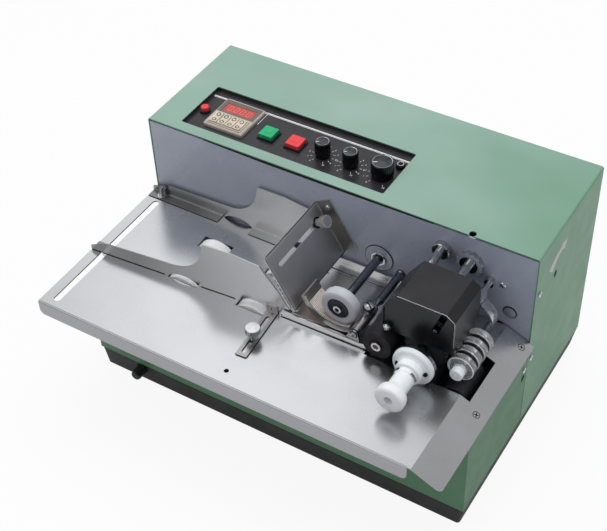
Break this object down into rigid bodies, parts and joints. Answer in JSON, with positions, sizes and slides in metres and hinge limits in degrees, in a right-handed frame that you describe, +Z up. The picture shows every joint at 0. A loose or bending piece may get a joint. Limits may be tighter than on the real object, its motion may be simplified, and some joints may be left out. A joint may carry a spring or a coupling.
{
  "type": "date coding machine",
  "caption": "Bench-top date coding machine: sheet-metal cabinet with control panel, worktable, friction feeder, rotary print head under a cover, and exit roller.",
  "frame": {"origin": "middle of the part's box, on the surface that the feet stand on", "axes": "+X along the worktable in the feed direction, +Y from the user to the back, +Z up"},
  "size_m": [0.4545, 0.355, 0.272],
  "materials": {
    "cabinet_green": "textured enamel",
    "front_plate_grey": "satin enamel",
    "base_black": "satin powder coat",
    "foot_rubber": "matte",
    "panel_black": "glossy",
    "counter_grey": "fine texture",
    "key_beige": "smooth",
    "button_green": "glossy",
    "button_red": "glossy",
    "knob_black": "satin",
    "black_plastic": "satin",
    "stainless_sheet": "brushed",
    "gate_steel": "brushed",
    "bright_steel": "polished",
    "blued_steel": "ground",
    "hood_black": "satin enamel",
    "white_nylon": "smooth",
    "wheel_white": "smooth",
    "clear_plastic": "clear",
    "black_rubber": "ground",
    "pad_copper": "ribbed",
    "bracket_steel": "brushed",
    "zinc_screw": "plated",
    "frame_zinc": "zinc plated",
    "motor_grey": "enamel",
    "board_green": "lacquer",
    "belt_rubber": "toothed",
    "type_rubber": "moulded",
    "ink_felt": "solid ink"
  },
  "bodies": {
    "root": {"base_tray": "base_black", "rubber_feet": "foot_rubber", "rear_cover": "cabinet_green", "front_box": "cabinet_green", "front_plate": "front_plate_grey", "machine_screws": "zinc_screw", "panel_plate": "panel_black", "counter_case": "counter_grey", "button_bezels": "black_plastic", "worktable": "stainless_sheet", "separator_plate": "stainless_sheet", "inner_frame": "frame_zinc", "bearings": "frame_zinc", "gear_motor": "motor_grey", "control_board": "board_green", "mains_inlet": "black_plastic", "pivot_rod": "blued_steel", "panel_posts": "bright_steel", "ink_cover": "hood_black", "plastic_caps": "black_plastic", "gate_plate": "gate_steel", "drive_belts": "belt_rubber", "rear_guide": "stainless_sheet", "rear_guide_bolt": "bright_steel"},
    "start_button": {"start_button": "button_green"},
    "stop_button": {"stop_button": "button_red"},
    "reset_button": {"reset_button": "button_red"},
    "timing_knob": {"timing_knob": "knob_black"},
    "position_knob": {"position_knob": "knob_black"},
    "speed_knob": {"speed_knob": "knob_black"},
    "key_1": {"counter_key_1": "key_beige"},
    "key_2": {"counter_key_2": "key_beige"},
    "key_3": {"counter_key_3": "key_beige"},
    "key_4": {"counter_key_4": "key_beige"},
    "front_guide": {"front_guide": "stainless_sheet", "guide_strip": "stainless_sheet", "front_guide_bolt": "bright_steel"},
    "strip_thumbscrew": {"strip_thumbscrew": "bright_steel"},
    "gate_slider": {"gate_nut": "gate_steel"},
    "gate_thumbscrew": {"gate_thumbscrew": "gate_steel"},
    "friction_bracket": {"friction_bracket": "bracket_steel", "friction_pad": "pad_copper"},
    "feed_left": {"feed_shaft_left": "frame_zinc", "feed_wheels_left": "wheel_white"},
    "feed_right": {"feed_shaft_right": "frame_zinc", "feed_wheels_right": "wheel_white"},
    "separator": {"separator_shaft": "blued_steel", "separator_wheel": "wheel_white"},
    "upper_pinch": {"pinch_roller": "black_rubber"},
    "lower_pinch": {"lower_pinch_roller": "black_rubber"},
    "print_head": {"print_shaft": "blued_steel", "type_roll": "type_rubber", "hand_knob": "white_nylon"},
    "impression": {"impression_roller": "black_rubber"},
    "ink_arm": {"ink_arm": "blued_steel"},
    "ink_roller": {"ink_roller": "ink_felt"},
    "exit_arm": {"exit_arm": "bright_steel"},
    "exit_roller": {"exit_roller": "clear_plastic"},
    "lower_exit": {"lower_exit_roller": "black_rubber"},
    "motor": {"motor_pulley": "frame_zinc"}
  },
  "joints": [
    {"name": "start_press", "type": "slide", "parent": "root", "child": "start_button", "axis": [0, 0, -1], "range_m": [0, 0.0015], "stiffness_N_per_m": 250, "springref_m": -0.002},
    {"name": "stop_press", "type": "slide", "parent": "root", "child": "stop_button", "axis": [0, 0, -1], "range_m": [0, 0.0015], "stiffness_N_per_m": 250, "springref_m": -0.002},
    {"name": "reset_press", "type": "slide", "parent": "root", "child": "reset_button", "axis": [0, 0, -1], "range_m": [0, 0.0015], "stiffness_N_per_m": 250, "springref_m": -0.002},
    {"name": "timing_turn", "type": "hinge", "parent": "root", "child": "timing_knob", "pos_m": [-0.03325, 0.0635, 0.2533], "axis": [0, 0, 1], "range_deg": [-150, 150]},
    {"name": "position_turn", "type": "hinge", "parent": "root", "child": "position_knob", "pos_m": [-0.00075, 0.0631, 0.2533], "axis": [0, 0, 1], "range_deg": [-150, 150]},
    {"name": "speed_turn", "type": "hinge", "parent": "root", "child": "speed_knob", "pos_m": [0.03475, 0.0645, 0.2533], "axis": [0, 0, 1], "range_deg": [-150, 150]},
    {"name": "key_1_rock", "type": "hinge", "parent": "root", "child": "key_1", "pos_m": [-0.15965, 0.0585, 0.2567], "axis": [1, 0, 0], "range_deg": [-4, 4], "stiffness_Nm_per_rad": 0.03},
    {"name": "key_2_rock", "type": "hinge", "parent": "root", "child": "key_2", "pos_m": [-0.15005, 0.0585, 0.2567], "axis": [1, 0, 0], "range_deg": [-4, 4], "stiffness_Nm_per_rad": 0.03},
    {"name": "key_3_rock", "type": "hinge", "parent": "root", "child": "key_3", "pos_m": [-0.14045, 0.0585, 0.2567], "axis": [1, 0, 0], "range_deg": [-4, 4], "stiffness_Nm_per_rad": 0.03},
    {"name": "key_4_rock", "type": "hinge", "parent": "root", "child": "key_4", "pos_m": [-0.13085, 0.0585, 0.2567], "axis": [1, 0, 0], "range_deg": [-4, 4], "stiffness_Nm_per_rad": 0.03},
    {"name": "guide_slide", "type": "slide", "parent": "root", "child": "front_guide", "axis": [-0.075, 0.9972, 0], "range_m": [-0.02, 0.01]},
    {"name": "strip_thumb_turn", "type": "hinge", "parent": "root", "child": "strip_thumbscrew", "pos_m": [-0.00878, -0.11379, 0.16], "axis": [0, 0, 1], "range_deg": [0, 360]},
    {"name": "gate_slide", "type": "slide", "parent": "root", "child": "gate_slider", "axis": [0, -1, 0], "range_m": [0, 0.068]},
    {"name": "gate_thumb_turn", "type": "hinge", "parent": "gate_slider", "child": "gate_thumbscrew", "pos_m": [-0.0089, 0.01, 0.21455], "axis": [0.8616, 0, 0.5075], "range_deg": [0, 360]},
    {"name": "friction_tilt", "type": "hinge", "parent": "root", "child": "friction_bracket", "pos_m": [0.07935, -0.0505, 0.1736], "axis": [0, 1, 0], "range_deg": [-2.5, 0], "stiffness_Nm_per_rad": 0.6, "springref_deg": 11.46},
    {"name": "feed_left_spin", "type": "hinge", "parent": "root", "child": "feed_left", "pos_m": [-0.11565, -0.0465, 0.1395], "axis": [0, 1, 0], "continuous": true},
    {"name": "feed_right_spin", "type": "hinge", "parent": "root", "child": "feed_right", "pos_m": [-0.03225, -0.0465, 0.1395], "axis": [0, 1, 0], "continuous": true},
    {"name": "motor_spin", "type": "hinge", "parent": "root", "child": "motor", "pos_m": [0.01675, 0.0535, 0.075], "axis": [0, 1, 0], "continuous": true},
    {"name": "lower_pinch_spin", "type": "hinge", "parent": "root", "child": "lower_pinch", "pos_m": [0.10675, -0.0465, 0.1462], "axis": [0, 1, 0], "continuous": true},
    {"name": "upper_pinch_spin", "type": "hinge", "parent": "root", "child": "upper_pinch", "pos_m": [0.10675, -0.0465, 0.1762], "axis": [0, 1, 0], "continuous": true},
    {"name": "separator_spin", "type": "hinge", "parent": "root", "child": "separator", "pos_m": [0.05425, -0.0465, 0.1842], "axis": [0, 1, 0], "continuous": true},
    {"name": "impression_spin", "type": "hinge", "parent": "root", "child": "impression", "pos_m": [0.15075, -0.0465, 0.1437], "axis": [0, 1, 0], "continuous": true},
    {"name": "lower_exit_spin", "type": "hinge", "parent": "root", "child": "lower_exit", "pos_m": [0.18775, -0.0465, 0.1465], "axis": [0, 1, 0], "continuous": true},
    {"name": "print_spin", "type": "hinge", "parent": "root", "child": "print_head", "pos_m": [0.15075, -0.0465, 0.1818], "axis": [0, 1, 0], "continuous": true},
    {"name": "ink_arm_lift", "type": "hinge", "parent": "root", "child": "ink_arm", "pos_m": [0.12375, -0.0465, 0.229], "axis": [0, -1, 0], "range_deg": [0, 6]},
    {"name": "ink_roller_spin", "type": "hinge", "parent": "ink_arm", "child": "ink_roller", "pos_m": [0.16255, -0.0415, 0.2182], "axis": [0, 1, 0], "continuous": true},
    {"name": "exit_arm_lift", "type": "hinge", "parent": "root", "child": "exit_arm", "pos_m": [0.17575, -0.0025, 0.211], "axis": [0, -1, 0], "range_deg": [0, 15], "stiffness_Nm_per_rad": 0.5, "springref_deg": -17.19},
    {"name": "exit_roller_spin", "type": "hinge", "parent": "exit_arm", "child": "exit_roller", "pos_m": [0.18725, -0.0365, 0.174], "axis": [0, 1, 0], "continuous": true}
  ],
  "couplings": [
    {"joint": "feed_right_spin", "follows": "feed_left_spin", "ratio": 1},
    {"joint": "motor_spin", "follows": "feed_left_spin", "ratio": 2.16},
    {"joint": "lower_pinch_spin", "follows": "feed_left_spin", "ratio": 1.8},
    {"joint": "upper_pinch_spin", "follows": "feed_left_spin", "ratio": -1.575},
    {"joint": "separator_spin", "follows": "feed_left_spin", "ratio": -1.2287},
    {"joint": "impression_spin", "follows": "feed_left_spin", "ratio": 1.5254},
    {"joint": "lower_exit_spin", "follows": "feed_left_spin", "ratio": 1.8},
    {"joint": "exit_roller_spin", "follows": "feed_left_spin", "ratio": -1.7333},
    {"joint": "ink_roller_spin", "follows": "print_spin", "ratio": -1.3562}
  ]
}
